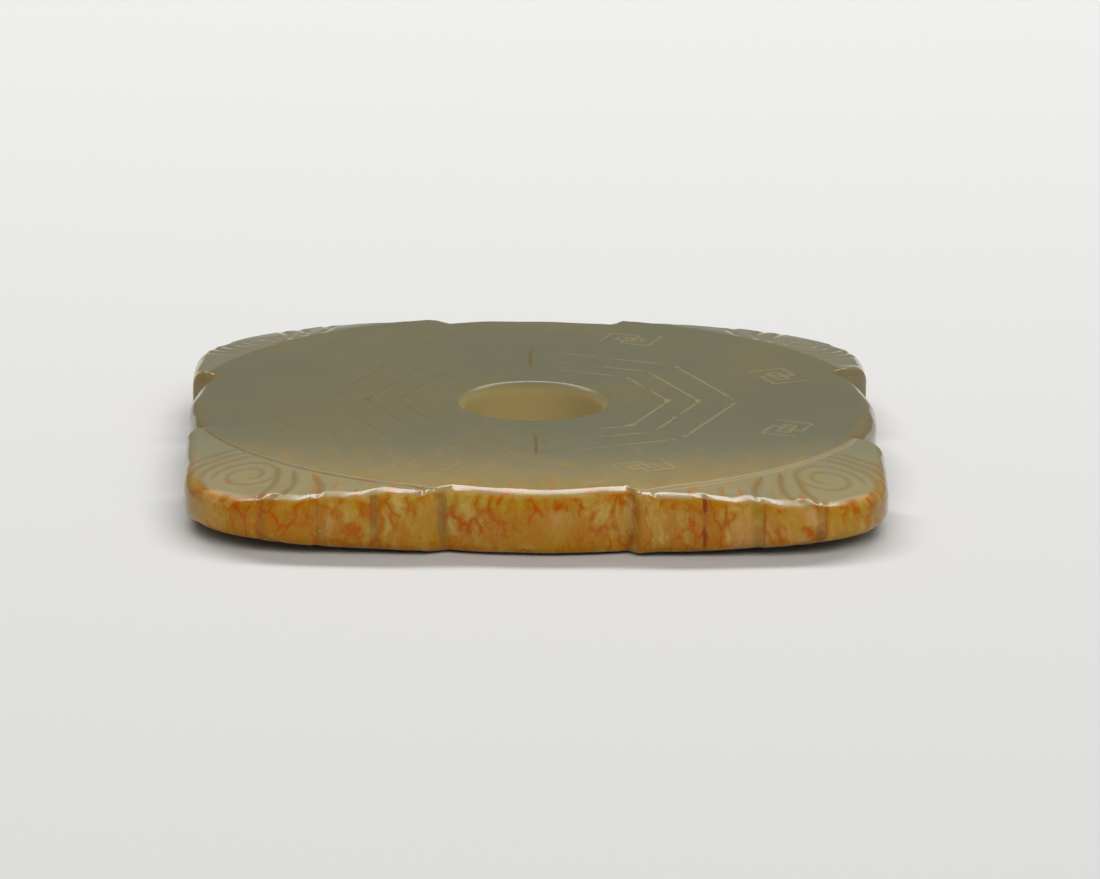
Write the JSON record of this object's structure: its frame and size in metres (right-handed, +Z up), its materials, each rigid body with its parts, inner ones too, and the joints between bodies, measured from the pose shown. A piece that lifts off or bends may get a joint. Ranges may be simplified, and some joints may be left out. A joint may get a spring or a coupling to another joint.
{
  "type": "jade plaque",
  "caption": "Small flat carved jade plaque: a round disc with a central hole on a rounded square whose corners are cut as cloud scrolls.",
  "frame": {"origin": "middle of the plaque's hole, in the plane of the disc's underside, which it rests on", "axes": "+Z up out of the upper face, along the hole; +X to the right seen from the front edge; the pictured front edge faces -Y"},
  "size_m": [0.055, 0.055, 0.0053],
  "materials": {
    "jade": "polished, waxy, translucent grey-green nephrite, honey yellow with russet veins at the edge"
  },
  "bodies": {
    "root": {"plaque": "jade"}
  },
  "joints": []
}
